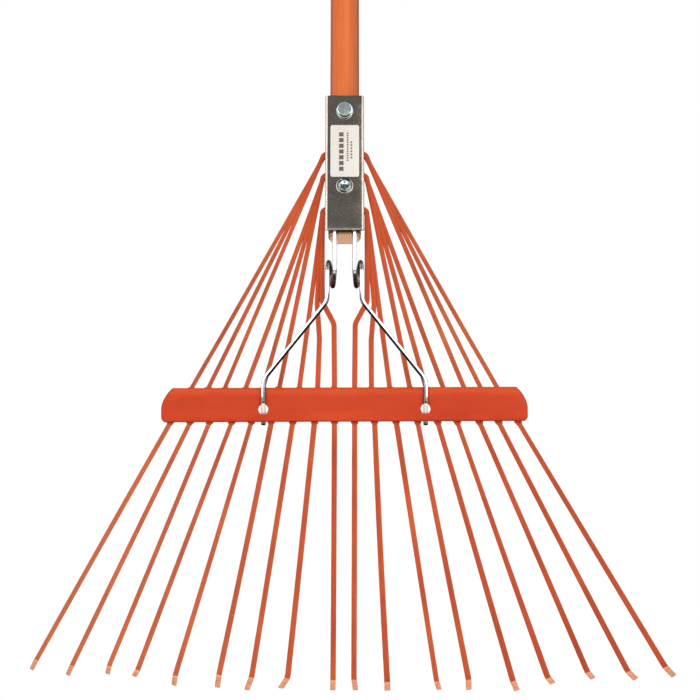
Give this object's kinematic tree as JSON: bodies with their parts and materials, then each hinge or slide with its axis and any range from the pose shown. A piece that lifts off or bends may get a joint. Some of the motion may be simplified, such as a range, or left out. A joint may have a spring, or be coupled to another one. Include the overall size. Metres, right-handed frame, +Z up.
{
  "type": "leaf rake",
  "caption": "Spring-brace steel leaf rake: a wood handle bolted in a folded ferrule, fanned flat spring tines with hooked tips, a curved crossbar and a coiled wire brace.",
  "frame": {"origin": "on the handle axis, at the plane of the ferrule mouth where the shaft comes out", "axes": "+Z up the handle towards its free end, -Y towards the brace side, +Y the way the tips hook, X across the head"},
  "size_m": [0.6002, 0.0744, 1.6608],
  "materials": {
    "painted_wood": "satin orange paint over wood, bare tan end grain at the butt",
    "zinc_sheet": "bright zinc plating on folded sheet",
    "zinc_fastener": "blue-tinted zinc plating",
    "bright_wire": "bright drawn and plated spring wire",
    "painted_sheet": "satin orange-red paint on curved sheet",
    "painted_spring_steel": "satin orange-red paint on flat spring wire, worn at the tips",
    "label_paper": null
  },
  "bodies": {
    "handle_and_ferrule": {"handle": "painted_wood", "ferrule_channel": "zinc_sheet", "ferrule_back_plate": "zinc_sheet", "upper_bolt": "zinc_fastener", "upper_nut": "zinc_fastener", "lower_bolt": "zinc_fastener", "lower_nut": "zinc_fastener", "washers": "zinc_fastener", "label": "label_paper"},
    "rake_head": {"crossbar": "painted_sheet", "brace_spring": "bright_wire", "tine_pair_1": "painted_spring_steel", "tine_pair_2": "painted_spring_steel", "tine_pair_3": "painted_spring_steel", "tine_pair_4": "painted_spring_steel", "tine_pair_5": "painted_spring_steel", "tine_pair_6": "painted_spring_steel", "tine_pair_7": "painted_spring_steel", "tine_pair_8": "painted_spring_steel", "tine_pair_9": "painted_spring_steel"},
    "tine_left_1_body": {"tine_left_1": "painted_spring_steel"},
    "tine_left_2_body": {"tine_left_2": "painted_spring_steel"},
    "tine_left_3_body": {"tine_left_3": "painted_spring_steel"},
    "tine_left_4_body": {"tine_left_4": "painted_spring_steel"},
    "tine_left_5_body": {"tine_left_5": "painted_spring_steel"},
    "tine_left_6_body": {"tine_left_6": "painted_spring_steel"},
    "tine_left_7_body": {"tine_left_7": "painted_spring_steel"},
    "tine_left_8_body": {"tine_left_8": "painted_spring_steel"},
    "tine_left_9_body": {"tine_left_9": "painted_spring_steel"},
    "tine_right_1_body": {"tine_right_1": "painted_spring_steel"},
    "tine_right_2_body": {"tine_right_2": "painted_spring_steel"},
    "tine_right_3_body": {"tine_right_3": "painted_spring_steel"},
    "tine_right_4_body": {"tine_right_4": "painted_spring_steel"},
    "tine_right_5_body": {"tine_right_5": "painted_spring_steel"},
    "tine_right_6_body": {"tine_right_6": "painted_spring_steel"},
    "tine_right_7_body": {"tine_right_7": "painted_spring_steel"},
    "tine_right_8_body": {"tine_right_8": "painted_spring_steel"},
    "tine_right_9_body": {"tine_right_9": "painted_spring_steel"}
  },
  "joints": [
    {"name": "head_flex", "type": "hinge", "parent": "handle_and_ferrule", "child": "rake_head", "pos_m": [0, 0.01566, -0.0752], "axis": [1, 0, 0], "range_deg": [-5, 3], "stiffness_Nm_per_rad": 100, "deforming": ["brace_spring", "tine_pair_1", "tine_pair_2", "tine_pair_3", "tine_pair_4", "tine_pair_5", "tine_pair_6", "tine_pair_7", "tine_pair_8", "tine_pair_9"]},
    {"name": "tine_left_1_flex", "type": "hinge", "parent": "rake_head", "child": "tine_left_1_body", "pos_m": [-0.0096, 0.01566, -0.3316], "axis": [1, 0, -0.0028], "range_deg": [-10, 6], "stiffness_Nm_per_rad": 4.3},
    {"name": "tine_left_2_flex", "type": "hinge", "parent": "rake_head", "child": "tine_left_2_body", "pos_m": [-0.02869, 0.01566, -0.3316], "axis": [0.9956, 0, -0.0933], "range_deg": [-10, 6], "stiffness_Nm_per_rad": 4.3},
    {"name": "tine_left_3_flex", "type": "hinge", "parent": "rake_head", "child": "tine_left_3_body", "pos_m": [-0.04944, 0.01566, -0.3316], "axis": [0.9899, 0, -0.142], "range_deg": [-10, 6], "stiffness_Nm_per_rad": 4.3},
    {"name": "tine_left_4_flex", "type": "hinge", "parent": "rake_head", "child": "tine_left_4_body", "pos_m": [-0.06978, 0.01566, -0.3316], "axis": [0.9835, 0, -0.1809], "range_deg": [-10, 6], "stiffness_Nm_per_rad": 4.3},
    {"name": "tine_left_5_flex", "type": "hinge", "parent": "rake_head", "child": "tine_left_5_body", "pos_m": [-0.08907, 0.01566, -0.3316], "axis": [0.9658, 0, -0.2591], "range_deg": [-10, 6], "stiffness_Nm_per_rad": 4.3},
    {"name": "tine_left_6_flex", "type": "hinge", "parent": "rake_head", "child": "tine_left_6_body", "pos_m": [-0.10784, 0.01566, -0.3316], "axis": [0.947, 0, -0.3213], "range_deg": [-10, 6], "stiffness_Nm_per_rad": 4.3},
    {"name": "tine_left_7_flex", "type": "hinge", "parent": "rake_head", "child": "tine_left_7_body", "pos_m": [-0.12897, 0.01566, -0.3316], "axis": [0.9387, 0, -0.3446], "range_deg": [-10, 6], "stiffness_Nm_per_rad": 4.3},
    {"name": "tine_left_8_flex", "type": "hinge", "parent": "rake_head", "child": "tine_left_8_body", "pos_m": [-0.14733, 0.01566, -0.3316], "axis": [0.9173, 0, -0.3982], "range_deg": [-10, 6], "stiffness_Nm_per_rad": 4.3},
    {"name": "tine_left_9_flex", "type": "hinge", "parent": "rake_head", "child": "tine_left_9_body", "pos_m": [-0.16611, 0.01566, -0.3316], "axis": [0.8925, 0, -0.451], "range_deg": [-10, 6], "stiffness_Nm_per_rad": 4.3},
    {"name": "tine_right_1_flex", "type": "hinge", "parent": "rake_head", "child": "tine_right_1_body", "pos_m": [0.0096, 0.01566, -0.3316], "axis": [1, 0, -0.0032], "range_deg": [-10, 6], "stiffness_Nm_per_rad": 4.3},
    {"name": "tine_right_2_flex", "type": "hinge", "parent": "rake_head", "child": "tine_right_2_body", "pos_m": [0.02864, 0.01566, -0.3316], "axis": [0.9991, 0, 0.0421], "range_deg": [-10, 6], "stiffness_Nm_per_rad": 4.3},
    {"name": "tine_right_3_flex", "type": "hinge", "parent": "rake_head", "child": "tine_right_3_body", "pos_m": [0.04944, 0.01566, -0.3316], "axis": [0.9904, 0, 0.1381], "range_deg": [-10, 6], "stiffness_Nm_per_rad": 4.3},
    {"name": "tine_right_4_flex", "type": "hinge", "parent": "rake_head", "child": "tine_right_4_body", "pos_m": [0.06978, 0.01566, -0.3316], "axis": [0.9848, 0, 0.1739], "range_deg": [-10, 6], "stiffness_Nm_per_rad": 4.3},
    {"name": "tine_right_5_flex", "type": "hinge", "parent": "rake_head", "child": "tine_right_5_body", "pos_m": [0.08906, 0.01566, -0.3316], "axis": [0.9677, 0, 0.2519], "range_deg": [-10, 6], "stiffness_Nm_per_rad": 4.3},
    {"name": "tine_right_6_flex", "type": "hinge", "parent": "rake_head", "child": "tine_right_6_body", "pos_m": [0.10782, 0.01566, -0.3316], "axis": [0.9533, 0, 0.3019], "range_deg": [-10, 6], "stiffness_Nm_per_rad": 4.3},
    {"name": "tine_right_7_flex", "type": "hinge", "parent": "rake_head", "child": "tine_right_7_body", "pos_m": [0.12899, 0.01566, -0.3316], "axis": [0.9326, 0, 0.361], "range_deg": [-10, 6], "stiffness_Nm_per_rad": 4.3},
    {"name": "tine_right_8_flex", "type": "hinge", "parent": "rake_head", "child": "tine_right_8_body", "pos_m": [0.14736, 0.01566, -0.3316], "axis": [0.9067, 0, 0.4217], "range_deg": [-10, 6], "stiffness_Nm_per_rad": 4.3},
    {"name": "tine_right_9_flex", "type": "hinge", "parent": "rake_head", "child": "tine_right_9_body", "pos_m": [0.16614, 0.01566, -0.3316], "axis": [0.8802, 0, 0.4745], "range_deg": [-10, 6], "stiffness_Nm_per_rad": 4.3}
  ]
}
